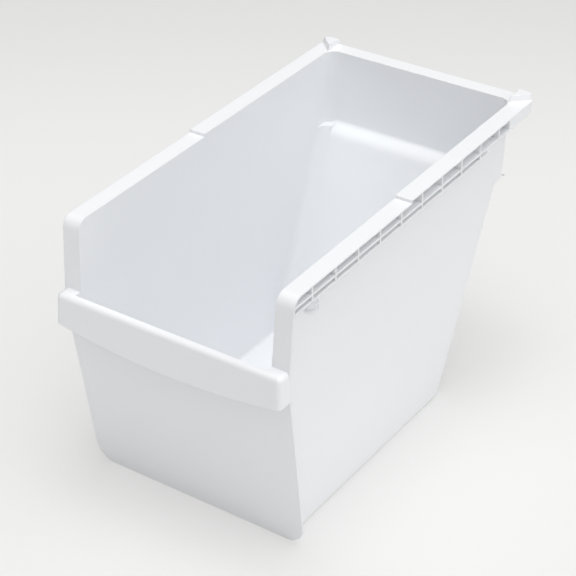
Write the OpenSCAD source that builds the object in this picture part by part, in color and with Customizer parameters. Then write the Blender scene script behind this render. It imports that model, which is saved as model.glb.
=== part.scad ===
// Freezer drawer moulded in one piece, standing on its flat bottom with the front towards minus Y

/* [Overall size] */
// Width over the side flanges, mm
width = 250; // [200:1:320]
// Depth from the front lip to the edge of the back flange, mm
depth = 451; // [360:1:560]
// Height of the side flange at its front end, mm
height = 282.5; // [220:0.5:350]
// Height of the lip on the low front wall, mm
lip_height = 212; // [160:0.5:260]

/* [Shell] */
// Thickness of every wall, mm
wall = 2.4; // [1.5:0.1:4]
// Inward lean of each side wall towards the bottom, degrees
side_draft = 1.1; // [0.5:0.1:3]
// Lean of the front panel, its bottom set back, degrees
panel_lean = 8.6; // [4:0.1:12]
// Lean of the front strips, their lower ends forward, degrees
strip_lean = 4.4; // [2:0.1:8]
// Lean of the lower back wall from upright, degrees
back_slope = 23.2; // [15:0.1:32]
// Lean of the upper back wall, degrees
back_draft = 3; // [1:0.1:5]
// Height of the ledge between the two parts of the back wall, mm
ledge_height = 211; // [160:1:260]
// Depth of that ledge, front to back, mm
ledge_depth = 14; // [8:0.5:20]
// Radius of the two upright rear corners, mm
rear_corner = 14; // [8:0.5:20]
// Radius along the bottom of the side walls, mm
floor_corner = 5; // [3:0.5:8]
// Radius of the front panel's lower corners, mm
panel_corner = 21; // [12:0.5:28]

/* [Flange and rail] */
// Reach of the flange beyond the inside of the tub, mm
flange_reach = 18; // [12:0.5:24]
// Thickness of the flange, mm
flange = 1.6; // [1.2:0.1:3]
// Rise of the flange towards the back, degrees
flange_rise = 1.15; // [0:0.05:2]
// Radius where the flange rounds over into the front strips, mm
flange_turn = 12; // [6:0.5:18]
// Distance from the front strips to the step in the side flanges, mm
step_from_front = 190; // [120:1:240]
// Height of that step, mm
step_height = 2.9; // [1.5:0.1:5]
// Thickness of the two rail ribs, mm
rib = 2; // [1.2:0.1:3]
// Top of the middle rib below the flange top, mm
middle_rib_drop = 8.3; // [6:0.1:12]
// Clear gap between the middle rib and the lower rib, mm
rib_gap = 4.3; // [3:0.1:7]
// Distance from the front strips to the first upright web, mm
first_web = 27.5; // [18:0.5:40]
// Spacing of the upright webs, mm
web_pitch = 36.4; // [24:0.1:50]
// Length of the closed rear end of each rail, mm
rail_end = 53; // [40:1:70]
// Length by which the lower rib stops short of that closed end, mm
lower_rib_short = 41; // [20:1:60]
// Radius of the half-round stop on each side, mm
stop_radius = 8.5; // [6:0.1:12]
// Height of the stop, mm
stop_height = 8; // [6:0.5:12]
// Height of the raised blocks on the rear flange corners, mm
block_height = 5.5; // [2:0.5:8]

/* [Lip] */
// Reach of the lip beyond the front end of the flange, mm
lip_reach = 21.5; // [16:0.5:28]
// Depth of the lip's skirt at its two ends, mm
skirt_depth = 31; // [22:0.5:40]
// Extra depth of the skirt in the middle, mm
skirt_sag = 10.5; // [4:0.5:16]
// Forward lean of the skirt's lower edge, degrees
skirt_lean = 3.1; // [1:0.1:5]
// Radius over the front edge and the ends of the lip, mm
lip_round = 5; // [3:0.5:6]
// Depth of the lip's top from its front edge to the tub's opening, mm
lip_top = 9; // [8:0.5:12]

/* [Hidden] */
$fn = 96;

slope = tan(flange_rise);
// Y of the front ends of the side flanges, which puts the whole depth centred on Y = 0
front = lip_reach - depth / 2;
back = depth / 2;
run = back - front;
half = width / 2;
// Half width of the tub's outside at the flange
tub_half = half - flange_reach + wall;
// Y of the outside of the back wall under the flange
back_wall = back - flange_reach + wall + 1;
step_y = front + step_from_front;
ledge_y = back_wall - (height - ledge_height) * tan(back_draft);
bottom_back = ledge_y - ledge_depth - ledge_height * tan(back_slope);
// Where the leaning strips and the leaning front panel meet, behind the lip
knee_height = lip_height - 16;
knee_y = front - (height - knee_height) * tan(strip_lean);
panel_foot = knee_y + knee_height * tan(panel_lean);
throat_y = front - lip_reach + lip_top - wall;

// Height of the flange top at a distance behind its front end
function flange_z(y) = height + (y - front) * slope;
// Y of the front face of the strips, and of the front face of the panel
function strip_y(z) = front - (height - z) * tan(strip_lean);
function panel_y(z) = panel_foot - z * tan(panel_lean);
// Half width of the tub's outside at a height
function tub_x(z) = tub_half - (height - z) * tan(side_draft);

// Front face of the lip's skirt, and half width of the lip
skirt_foot = lip_height - skirt_depth - skirt_sag;
function skirt_y(z) = front - lip_reach + (z - skirt_foot) * tan(skirt_lean);
function lip_x(z) = half - 0.5 - (z - lip_height + skirt_depth) * tan(1.7);

function unit(v) = v / norm(v);
function turned(v) = [-v[1], v[0]];
function before(p, i) = p[(i + len(p) - 1) % len(p)];
function after(p, i) = p[(i + 1) % len(p)];
// Moves each edge of an anticlockwise outline inwards, by one distance or by a list of them
function edge_move(t, i) = is_list(t) ? t[i] : t;
function shifted(p, u, v, a, b) = p + (u * (a - u * v * b) + v * (b - u * v * a)) / (1 - pow(u * v, 2));
function inset(p, t) = [for (i = [0:len(p) - 1]) shifted(
    p[i],
    turned(unit(p[i] - before(p, i))),
    turned(unit(after(p, i) - p[i])),
    edge_move(t, (i + len(p) - 1) % len(p)),
    edge_move(t, i))];
function turn_angle(p, i) = acos(unit(before(p, i) - p[i]) * unit(after(p, i) - p[i]));
function is_convex(p, i) = cross(p[i] - before(p, i), after(p, i) - p[i]) > 0;
function arc_centre(p, i, r) = p[i]
    + unit(unit(before(p, i) - p[i]) + unit(after(p, i) - p[i])) * r / sin(turn_angle(p, i) / 2);
function arc_ends(p, i, r) = r == 0 ? [p[i]] : [
    p[i] + unit(before(p, i) - p[i]) * r / tan(turn_angle(p, i) / 2),
    p[i] + unit(after(p, i) - p[i]) * r / tan(turn_angle(p, i) / 2)];

// Outline with true arcs at its corners, one radius for each point
module rounded(p, r) {
    difference() {
        union() {
            polygon([for (i = [0:len(p) - 1]) each arc_ends(p, i, r[i])]);
            for (i = [0:len(p) - 1])
                if (r[i] > 0 && is_convex(p, i))
                    translate(arc_centre(p, i, r[i])) circle(r[i]);
        }
        for (i = [0:len(p) - 1])
            if (r[i] > 0 && !is_convex(p, i))
                translate(arc_centre(p, i, r[i])) circle(r[i]);
    }
}

// Turns an outline drawn as Y and Z into a solid that runs across the width
module across(w) {
    translate([-w / 2, 0, 0]) rotate([90, 0, 90]) linear_extrude(w) children();
}

// Turns an outline drawn as X and Z into a solid that runs from y0 to y1
module lengthwise(y0, y1) {
    translate([0, y1, 0]) rotate([90, 0, 0]) linear_extrude(y1 - y0) children();
}

module both_sides() {
    children();
    mirror([1, 0, 0]) children();
}

// Places children in the flange's own frame, its origin at the flange's front end
module on_flange() {
    translate([0, front, height]) rotate([flange_rise, 0, 0]) children();
}

// Side view of the tub as anticlockwise points of Y and Z, the same below for its outside and its space
tub_low = [
    [panel_y(0), 0],
    [bottom_back, 0],
    [ledge_y - ledge_depth, ledge_height - 1],
    [ledge_y, ledge_height + 1]];
tub_throat = [
    [throat_y, knee_height + 7],
    [panel_y(knee_height - 20), knee_height - 20]];
tub_side = concat(tub_low, [
    [back_wall, flange_z(back) + step_height - flange / 2],
    [step_y + flange / 2, flange_z(step_y) + step_height - flange / 2],
    [step_y + flange / 2, flange_z(step_y) - flange / 2],
    [front + 1, height - flange / 2],
    [strip_y(lip_height) + 1, lip_height - 1],
    [throat_y, lip_height - 1]], tub_throat);
// The space goes straight on above the flange and over the low front wall
space_side = concat(tub_low, [
    [back_wall + 60 * tan(back_draft), flange_z(back) + 60],
    [throat_y, flange_z(back) + 60]], tub_throat);

// Front view of the tub as an anticlockwise outline of X and Z
tub_front = [
    [-tub_x(0), 0],
    [tub_x(0), 0],
    [tub_x(height + 60), height + 60],
    [-tub_x(height + 60), height + 60]];

// Removes the material outside a rear corner arc that runs along the line from a to b
module corner_cut(a, b, r) {
    e = unit(b - a);
    translate(a - e * 30) rotate([-asin(e[1]), atan2(e[0], e[2]), 0])
        linear_extrude(norm(b - a) + 60) difference() {
            translate([-r, -r]) square(r + 8);
            translate([-r, -r]) circle(r);
        }
}

// Solid inside the outline of the tub, moved inwards by t
module tub_form(outline, t) {
    side = inset(outline, t);
    foot = side[2] - (side[2] - side[1]) * (side[2][1] / (side[2][1] - side[1][1]));
    bends = [0, 9 - t, 12 + t, 6 - t, 0, 0, 0, flange_turn - 1];
    difference() {
        intersection() {
            across(2 * width) rounded(side, [for (i = [0:len(side) - 1]) i < 4 || t == 0 && i < 8 ? bends[i] : 0]);
            lengthwise(-depth, depth)
                rounded(inset(tub_front, t), [floor_corner - t / 2, floor_corner - t / 2, 0, 0]);
        }
        both_sides() {
            intersection() {
                corner_cut(
                    [tub_x(side[3][1]) - t, side[3][0], side[3][1]],
                    [tub_x(side[4][1]) - t, side[4][0], side[4][1]],
                    rear_corner - t);
                translate([0, 0, side[3][1]]) cube([width, depth, height]);
            }
            intersection() {
                corner_cut(
                    [tub_x(0) - t, foot[0], 0],
                    [tub_x(side[2][1]) - t, side[2][0], side[2][1]],
                    rear_corner - t);
                translate([0, -depth, -50]) cube([width, 2 * depth, 50 + side[3][1]]);
            }
        }
    }
}

// Front plate, front strips and flange as one folded sheet
module folded_sheet() {
    outline = [
        [panel_y(-20), -20],
        [back + 40, -20],
        [back + 40, flange_z(back + 40) + step_height],
        [step_y, flange_z(step_y) + step_height],
        [step_y, flange_z(step_y)],
        [front, height],
        [knee_y, knee_height]];
    intersection() {
        across(2 * width) difference() {
            rounded(outline, [0, 0, 0, 0, 0, flange_turn, 0]);
            rounded(inset(outline, [wall, wall, flange, flange, flange, wall, wall]),
                [0, 0, 0, 0, 0, flange_turn - wall, 0]);
        }
        lengthwise(-depth, back) rounded([
            [-half + height * tan(side_draft) * 0.75, 0],
            [half - height * tan(side_draft) * 0.75, 0],
            [half, height],
            [half, height * 2],
            [-half, height * 2],
            [-half, height]], [panel_corner, panel_corner, 0, 0, 0, 0]);
        flange_plan(0);
    }
}

// Plan of the flange with its rounded rear corners, moved inwards by t
module flange_plan(t) {
    linear_extrude(height * 2) rounded([
        [-half + t, -depth],
        [half - t, -depth],
        [half - t, back - t],
        [-half + t, back - t]], [0, 0, 10 - t, 10 - t]);
}

// Ribs, webs and closed rear end under one side flange
module rail() {
    inner_x = tub_half - 4;
    reach = half - inner_x;
    lower_top = middle_rib_drop + rib + rib_gap;
    length = run - rail_end;
    web_y = [for (i = [0:floor((length - first_web - 6) / web_pitch)]) first_web + i * web_pitch];
    on_flange() {
        translate([inner_x, 0, -middle_rib_drop - rib])
            cube([reach, length + 1, rib]);
        translate([inner_x, 0, -lower_top - rib])
            cube([reach, length - lower_rib_short, rib]);
        for (y = web_y)
            translate([inner_x, y - rib / 2, -middle_rib_drop - 1])
                cube([reach, rib, middle_rib_drop + 1 - flange / 2 + (y > step_from_front ? step_height : 0)]);
        for (y = web_y)
            if (y < length - lower_rib_short - 3)
                translate([inner_x, y - rib / 2, -lower_top - 1])
                    cube([reach, rib, rib_gap + rib]);
        translate([inner_x, length, -middle_rib_drop - rib])
            cube([reach, wall, middle_rib_drop + rib + step_height - flange / 2]);
        // Small gusset under the front end of the lower rib
        translate([inner_x, 2, -lower_top - rib - 3])
            cube([reach - 12, 8, 4]);
    }
    // Closed rear end, a skirt that follows the flange's outline round the corner
    intersection() {
        difference() {
            flange_plan(0);
            flange_plan(wall);
        }
        on_flange() translate([tub_half - 20, length, -middle_rib_drop - rib])
            cube([60, rail_end + 20, middle_rib_drop + rib + step_height - flange / 2]);
    }
}

// Half-round stop below the rail near the front, with a groove round it
module stop() {
    bottom = -32 - stop_height;
    on_flange() translate([tub_x(height - 36) - 0.3, 47, bottom]) {
        cylinder(r = stop_radius, h = 2);
        cylinder(r = stop_radius - 2.5, h = stop_height);
        translate([0, 0, stop_height - 2]) cylinder(r = stop_radius - 0.3, h = 2);
    }
}

// Raised block on a rear flange corner, its front face set at an angle and leaning back
module corner_block() {
    base = flange_z(back) + step_height - 3;
    intersection() {
        translate([0, 0, base]) linear_extrude(3 + block_height) polygon([
            [half - 18, back - 22.5],
            [half + 2, back - 22.5],
            [half + 2, back + 2],
            [half - 19, back + 2],
            [half - 17.5, back - 7]]);
        translate([half - 17.5, back - 21.5, base + 2]) rotate([0, 0, 44]) rotate([-16, 0, 0])
            translate([-20, 0, -20]) cube([80, 80, 80]);
        translate([half, back, base + 3]) rotate([0, 0, 45]) rotate([0, -40, 0])
            translate([-80, -40, -40]) cube([80, 80, 80]);
        flange_plan(0);
    }
}

// Side view and front view of the lip's solid, moved inwards by t
function lip_side(t) = [
    [skirt_y(skirt_foot - 20) + t, skirt_foot - 20],
    [strip_y(lip_height) + 1 + 2 * t, skirt_foot - 20],
    [strip_y(lip_height) + 1 + 2 * t, lip_height - t],
    [skirt_y(lip_height) + t, lip_height - t]];
function lip_view(t) = [
    [-lip_x(skirt_foot - 20) + t, skirt_foot - 20],
    [lip_x(skirt_foot - 20) - t, skirt_foot - 20],
    [lip_x(lip_height) - t, lip_height - t],
    [-lip_x(lip_height) + t, lip_height - t]];

// Removes the edges outside a ball at the lip's right front corner and the arc down its front edge
module lip_corner_cut() {
    r = lip_round;
    centre_z = lip_height - r;
    centre = [lip_x(centre_z) - r / cos(1.7), skirt_y(centre_z) + r / cos(skirt_lean), centre_z];
    e = unit([-tan(1.7), tan(skirt_lean), 1]);
    difference() {
        translate(centre) translate([0, -20, 0]) cube([20, 20, 20]);
        translate(centre) sphere(r);
    }
    intersection() {
        translate(centre - e * 80) rotate([-asin(e[1]), atan2(e[0], e[2]), 0])
            linear_extrude(90) difference() {
                translate([0, -20]) square(20);
                circle(r);
            }
        translate([0, -depth, 0]) cube([width, 2 * depth, centre_z]);
    }
}

// Hollow lip with a skirt that hangs lowest in the middle
module lip() {
    arc = (pow(half, 2) + pow(skirt_sag, 2)) / (2 * skirt_sag);
    intersection() {
        difference() {
            intersection() {
                across(2 * width) rounded(lip_side(0), [0, 0, 0, lip_round]);
                lengthwise(-depth, depth) rounded(lip_view(0), [0, 0, lip_round, lip_round]);
            }
            intersection() {
                across(2 * width) rounded(lip_side(wall), [0, 0, 0, lip_round - wall]);
                lengthwise(-depth, depth) rounded(lip_view(wall), [0, 0, lip_round - wall, lip_round - wall]);
            }
            both_sides() lip_corner_cut();
        }
        translate([0, 0, skirt_foot + arc]) rotate([90, 0, 0])
            translate([0, 0, -depth]) cylinder(r = arc, h = 2 * depth, $fn = 360);
    }
}

// The whole drawer, moulded in one piece
module drawer() {
    color([0.93, 0.94, 0.97]) difference() {
        union() {
            tub_form(tub_side, 0);
            folded_sheet();
            lip();
            both_sides() {
                rail();
                stop();
                corner_block();
            }
        }
        tub_form(space_side, wall);
    }
}

drawer();
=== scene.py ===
import math
import bpy
import numpy as np
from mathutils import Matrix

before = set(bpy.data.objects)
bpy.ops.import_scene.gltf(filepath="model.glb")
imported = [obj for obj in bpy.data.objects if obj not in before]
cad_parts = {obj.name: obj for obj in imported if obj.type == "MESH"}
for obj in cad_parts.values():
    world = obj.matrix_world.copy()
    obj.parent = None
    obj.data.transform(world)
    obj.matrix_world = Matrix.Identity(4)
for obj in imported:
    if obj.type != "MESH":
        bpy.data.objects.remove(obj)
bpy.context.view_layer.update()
print("frame loaded")


# shader helpers

def addNode(tree, kind, x=0, y=0, **settings):
    node = tree.nodes.new(kind)
    node.location = (x, y)
    for name, value in settings.items():
        setattr(node, name, value)
    return node


def newGroup(name, inputs, outputs):
    # inputs and outputs are (name, socket type, default) rows
    tree = bpy.data.node_groups.new(name, "ShaderNodeTree")
    for label, kind, default in inputs:
        socket = tree.interface.new_socket(name=label, in_out="INPUT", socket_type=kind)
        if default is not None:
            socket.default_value = default
    for label, kind in outputs:
        tree.interface.new_socket(name=label, in_out="OUTPUT", socket_type=kind)
    return tree, addNode(tree, "NodeGroupInput", -1000), addNode(tree, "NodeGroupOutput", 700)


def newMaterial(name):
    material = bpy.data.materials.new(name)
    material.use_nodes = True
    tree = material.node_tree
    tree.nodes.clear()
    return material, tree, addNode(tree, "ShaderNodeOutputMaterial", 600)


# moulded surface: broad unevenness of the tone, a fine ripple of the skin, and small gloss changes

def mouldedSkinGroup():
    tree, groupIn, groupOut = newGroup(
        "mouldedSkin",
        [("Vector", "NodeSocketVector", None),
         ("Tone Scale", "NodeSocketFloat", 9.0),
         ("Ripple Scale", "NodeSocketFloat", 260.0),
         ("Gloss Low", "NodeSocketFloat", 0.3),
         ("Gloss High", "NodeSocketFloat", 0.4)],
        [("Tone", "NodeSocketFloat"), ("Roughness", "NodeSocketFloat"), ("Height", "NodeSocketFloat")])
    link = tree.links.new
    tone = addNode(tree, "ShaderNodeTexNoise", -700, 200)
    tone.inputs["Detail"].default_value = plastic["toneDetail"]
    link(groupIn.outputs["Vector"], tone.inputs["Vector"])
    link(groupIn.outputs["Tone Scale"], tone.inputs["Scale"])
    link(tone.outputs["Fac"], groupOut.inputs["Tone"])
    gloss = addNode(tree, "ShaderNodeMapRange", -300, 0)
    gloss.inputs["From Min"].default_value = 0.3
    gloss.inputs["From Max"].default_value = 0.7
    link(tone.outputs["Fac"], gloss.inputs["Value"])
    link(groupIn.outputs["Gloss Low"], gloss.inputs["To Min"])
    link(groupIn.outputs["Gloss High"], gloss.inputs["To Max"])
    link(gloss.outputs["Result"], groupOut.inputs["Roughness"])
    ripple = addNode(tree, "ShaderNodeTexNoise", -700, -300)
    ripple.inputs["Detail"].default_value = plastic["rippleDetail"]
    link(groupIn.outputs["Vector"], ripple.inputs["Vector"])
    link(groupIn.outputs["Ripple Scale"], ripple.inputs["Scale"])
    link(ripple.outputs["Fac"], groupOut.inputs["Height"])
    return tree


# soft edges: the rounded corner's normal, and a mask that is 1 where it turns from the flat one; the
# mask places a painted edge highlight

def softEdgeGroup():
    tree, groupIn, groupOut = newGroup(
        "softEdge",
        [("Edge Start", "NodeSocketFloat", 0.01), ("Edge End", "NodeSocketFloat", 0.2)],
        [("Normal", "NodeSocketVector"), ("Edge", "NodeSocketFloat")])
    link = tree.links.new
    rounded = addNode(tree, "ShaderNodeBevel", -700, 100, samples=8)
    rounded.inputs["Radius"].default_value = plastic["edgeRadius"]
    geometry = addNode(tree, "ShaderNodeNewGeometry", -700, -150)
    together = addNode(tree, "ShaderNodeVectorMath", -450, 0, operation="DOT_PRODUCT")
    link(rounded.outputs["Normal"], together.inputs[0])
    link(geometry.outputs["Normal"], together.inputs[1])
    turned = addNode(tree, "ShaderNodeMath", -250, 0, operation="SUBTRACT")
    turned.inputs[0].default_value = 1.0
    link(together.outputs["Value"], turned.inputs[1])
    mask = addNode(tree, "ShaderNodeMapRange", -50, 0)
    link(turned.outputs["Value"], mask.inputs["Value"])
    link(groupIn.outputs["Edge Start"], mask.inputs["From Min"])
    link(groupIn.outputs["Edge End"], mask.inputs["From Max"])
    link(mask.outputs["Result"], groupOut.inputs["Edge"])
    link(rounded.outputs["Normal"], groupOut.inputs["Normal"])
    return tree


plastic = {
    "colour": (0.948, 0.961, 0.981, 1.0),   # cool white
    "colourDeep": (0.941, 0.955, 0.977, 1.0),
    "edgeHighlightColour": (0.970, 0.974, 0.982, 1.0),  # painted highlight: thin rounded edges are painted brighter, as if they catch the light
    "edgeRadius": 0.0008,
    "edgeHighlightShare": 0.6,
    "glossLow": 0.30,
    "glossHigh": 0.38,
    "toneDetail": 3.0, "rippleDetail": 2.0,
    "rippleStrength": 0.03,
    "rippleDepth": 0.0002,
}


def mouldedPlastic():
    material, tree, output = newMaterial("mouldedPlastic")
    link = tree.links.new
    place = addNode(tree, "ShaderNodeTexCoord", -1100)
    skin = addNode(tree, "ShaderNodeGroup", -800, 100, node_tree=mouldedSkinGroup())
    skin.inputs["Gloss Low"].default_value = plastic["glossLow"]
    skin.inputs["Gloss High"].default_value = plastic["glossHigh"]
    link(place.outputs["Object"], skin.inputs["Vector"])
    edge = addNode(tree, "ShaderNodeGroup", -800, -250, node_tree=softEdgeGroup())
    tone = addNode(tree, "ShaderNodeMix", -500, 250, data_type="RGBA")
    tone.inputs["A"].default_value = plastic["colourDeep"]
    tone.inputs["B"].default_value = plastic["colour"]
    link(skin.outputs["Tone"], tone.inputs["Factor"])
    # painted highlight: the edge mask blends a brighter white into the colour at rounded edges
    share = addNode(tree, "ShaderNodeMath", -500, 0, operation="MULTIPLY")
    share.inputs[1].default_value = plastic["edgeHighlightShare"]
    link(edge.outputs["Edge"], share.inputs[0])
    paintedEdgeHighlight = addNode(tree, "ShaderNodeMix", -250, 200, data_type="RGBA")
    paintedEdgeHighlight.inputs["B"].default_value = plastic["edgeHighlightColour"]
    link(share.outputs["Value"], paintedEdgeHighlight.inputs["Factor"])
    link(tone.outputs["Result"], paintedEdgeHighlight.inputs["A"])
    bump = addNode(tree, "ShaderNodeBump", -250, -200)
    bump.inputs["Strength"].default_value = plastic["rippleStrength"]
    bump.inputs["Distance"].default_value = plastic["rippleDepth"]
    link(skin.outputs["Height"], bump.inputs["Height"])
    link(edge.outputs["Normal"], bump.inputs["Normal"])
    shader = addNode(tree, "ShaderNodeBsdfPrincipled", 150)
    shader.inputs["IOR"].default_value = 1.5
    shader.inputs["Specular IOR Level"].default_value = 0.5
    link(paintedEdgeHighlight.outputs["Result"], shader.inputs["Base Color"])
    link(skin.outputs["Roughness"], shader.inputs["Roughness"])
    link(bump.outputs["Normal"], shader.inputs["Normal"])
    link(shader.outputs["BSDF"], output.inputs["Surface"])
    return material


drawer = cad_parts["drawer"]
drawer.data.materials.clear()
drawer.data.materials.append(mouldedPlastic())
print("drawer finished in moulded plastic")


# studio floor: a flat sheet whose paper is painted slowly darker away behind the drawer, a painted
# shade of the light falling off

floor = {
    "half": 6.0, "steps": 60,
    "colour": (0.872, 0.870, 0.862, 1.0),
    "shadedFarColour": (0.775, 0.775, 0.758, 1.0),
    "roughness": 0.9,
    "away": (-0.56, 0.83, 0.0),   # the way the paper runs back
    "near": 0.40, "far": 1.20,    # metres along it where the painted shade starts and ends
    "glow": 1.03, "glowShare": 0.38,  # the camera sees this share of even white, so shadows stay pale
}


def gridMesh(name, x, y, z):
    rows, columns = x.shape
    points = np.stack([x, y, z], axis=-1).reshape(-1, 3)
    corner = (np.arange(rows - 1)[:, None] * columns + np.arange(columns - 1)[None, :]).ravel()
    faces = np.stack([corner, corner + 1, corner + columns + 1, corner + columns], axis=-1)
    mesh = bpy.data.meshes.new(name)
    mesh.from_pydata(points.tolist(), [], faces.tolist())
    mesh.validate()
    piece = bpy.data.objects.new(name, mesh)
    bpy.context.scene.collection.objects.link(piece)
    return piece


def floorMaterial():
    material, tree, output = newMaterial("studioFloor")
    link = tree.links.new
    place = addNode(tree, "ShaderNodeTexCoord", -1100)
    distance = addNode(tree, "ShaderNodeVectorMath", -900, operation="DOT_PRODUCT")
    distance.inputs[1].default_value = floor["away"]
    link(place.outputs["Object"], distance.inputs[0])
    paintedFalloffShade = addNode(tree, "ShaderNodeMapRange", -700, interpolation_type="SMOOTHSTEP")
    paintedFalloffShade.inputs["From Min"].default_value = floor["near"]
    paintedFalloffShade.inputs["From Max"].default_value = floor["far"]
    link(distance.outputs["Value"], paintedFalloffShade.inputs["Value"])
    # painted shade: the paper colour is mixed towards the darker far colour along the way back
    paper = addNode(tree, "ShaderNodeMix", -450, data_type="RGBA")
    paper.inputs["A"].default_value = floor["colour"]
    paper.inputs["B"].default_value = floor["shadedFarColour"]
    link(paintedFalloffShade.outputs["Result"], paper.inputs["Factor"])
    shader = addNode(tree, "ShaderNodeBsdfPrincipled", -150, 100)
    shader.inputs["Roughness"].default_value = floor["roughness"]
    shader.inputs["Specular IOR Level"].default_value = 0.2
    link(paper.outputs["Result"], shader.inputs["Base Color"])
    glow = addNode(tree, "ShaderNodeEmission", -150, -250)
    glow.inputs["Strength"].default_value = floor["glow"]
    link(paper.outputs["Result"], glow.inputs["Color"])
    path = addNode(tree, "ShaderNodeLightPath", -150, 500)
    share = addNode(tree, "ShaderNodeMath", 100, 400, operation="MULTIPLY")
    share.inputs[1].default_value = floor["glowShare"]
    link(path.outputs["Is Camera Ray"], share.inputs[0])
    either = addNode(tree, "ShaderNodeMixShader", 300)
    link(share.outputs["Value"], either.inputs["Fac"])
    link(shader.outputs["BSDF"], either.inputs[1])
    link(glow.outputs["Emission"], either.inputs[2])
    link(either.outputs["Shader"], output.inputs["Surface"])
    return material


across, along = np.meshgrid(
    np.linspace(-floor["half"], floor["half"], floor["steps"]),
    np.linspace(-floor["half"], floor["half"], floor["steps"]))
studioFloor = gridMesh("studioFloor", across, along, np.zeros_like(across))
studioFloor.data.materials.append(floorMaterial())
print("floor laid")


# surround: light = the sum of strength * max(0, direction . towards) ^ sharpness, smooth all round

surround = {
    "seen": (0.86, 0.86, 0.85, 1.0),   # what the camera itself meets past the floor
    "lobes": {
        "zenith": {"towards": (0.0, 0.0, 1.0), "sharpness": 10.0, "strength": 0.675},
        "above": {"towards": (0.0, 0.0, 1.0), "sharpness": 2.0, "strength": 0.482},
        "rightUp": {"towards": (0.71, 0.0, 0.71), "sharpness": 2.0, "strength": 1.235},
        "frontUp": {"towards": (0.0, -0.71, 0.71), "sharpness": 2.0, "strength": 0.405},
    },
}


def lightSurround():
    world = bpy.data.worlds.new("surround")
    bpy.context.scene.world = world
    world.use_nodes = True
    tree = world.node_tree
    tree.nodes.clear()
    link = tree.links.new
    place = addNode(tree, "ShaderNodeTexCoord", -1400)
    total = None
    for row, lobe in enumerate(surround["lobes"].values()):
        facing = addNode(tree, "ShaderNodeVectorMath", -1200, -200 * row, operation="DOT_PRODUCT")
        facing.inputs[1].default_value = lobe["towards"]
        link(place.outputs["Generated"], facing.inputs[0])
        lit = addNode(tree, "ShaderNodeMath", -1000, -200 * row, operation="MAXIMUM")
        lit.inputs[1].default_value = 0.0
        link(facing.outputs["Value"], lit.inputs[0])
        shaped = addNode(tree, "ShaderNodeMath", -800, -200 * row, operation="POWER")
        shaped.inputs[1].default_value = lobe["sharpness"]
        link(lit.outputs["Value"], shaped.inputs[0])
        added = addNode(tree, "ShaderNodeMath", -600, -200 * row, operation="MULTIPLY_ADD")
        added.inputs[1].default_value = lobe["strength"]
        link(shaped.outputs["Value"], added.inputs[0])
        added.inputs[2].default_value = 0.0
        if total:
            link(total, added.inputs[2])
        total = added.outputs["Value"]
    glow = addNode(tree, "ShaderNodeBackground", -200, 100)
    link(total, glow.inputs["Strength"])
    seen = addNode(tree, "ShaderNodeBackground", -200, -100)
    seen.inputs["Color"].default_value = surround["seen"]
    path = addNode(tree, "ShaderNodeLightPath", -200, 400)
    either = addNode(tree, "ShaderNodeMixShader", 100)
    link(path.outputs["Is Camera Ray"], either.inputs["Fac"])
    link(glow.outputs["Background"], either.inputs[1])
    link(seen.outputs["Background"], either.inputs[2])
    link(either.outputs["Shader"], addNode(tree, "ShaderNodeOutputWorld", 300).inputs["Surface"])


lightSurround()

# soft boxes: discs that face their aim

softBoxes = {
    "overhead": {"place": (0.0, 0.0, 2.2), "aim": (0.0, 0.0, 0.0), "size": 0.5, "power": 3.38,
                 "colour": (1.0, 0.995, 0.985)},
    "frontLeft": {"place": (-0.75, -0.75, 0.40), "aim": (0.0, -0.20, 0.15), "size": 0.5, "power": 0.24,
                  "colour": (1.0, 1.0, 1.0)},
    "broad": {"place": (0.0, 0.0, 2.2), "aim": (0.0, 0.0, 0.0), "size": 1.6, "power": 8.69,
               "colour": (1.0, 1.0, 1.0)},
}

for name, box in softBoxes.items():
    data = bpy.data.lights.new(name, "AREA")
    data.shape = "DISK"
    data.size = box["size"]
    data.energy = box["power"]
    data.color = box["colour"]
    lamp = bpy.data.objects.new(name, data)
    bpy.context.scene.collection.objects.link(lamp)
    toAim = np.array(box["aim"]) - np.array(box["place"])
    lamp.location = box["place"]
    lamp.rotation_euler = (math.acos(-toAim[2] / np.linalg.norm(toAim)), 0.0,
                           math.atan2(toAim[1], toAim[0]) - math.pi / 2)
print("lights set")


# camera: level, fitted to the drawer's own edges

view = {"place": (0.8199, -1.2393, 1.0810), "tilt": 57.778, "turn": 34.112, "lens": 111.57}

cameraData = bpy.data.cameras.new("camera")
cameraData.sensor_width = 36.0
cameraData.lens = view["lens"]
camera = bpy.data.objects.new("camera", cameraData)
camera.location = view["place"]
camera.rotation_euler = (math.radians(view["tilt"]), 0.0, math.radians(view["turn"]))
bpy.context.scene.collection.objects.link(camera)
bpy.context.scene.camera = camera
bpy.context.scene.view_settings.view_transform = "Standard"
print("camera placed")
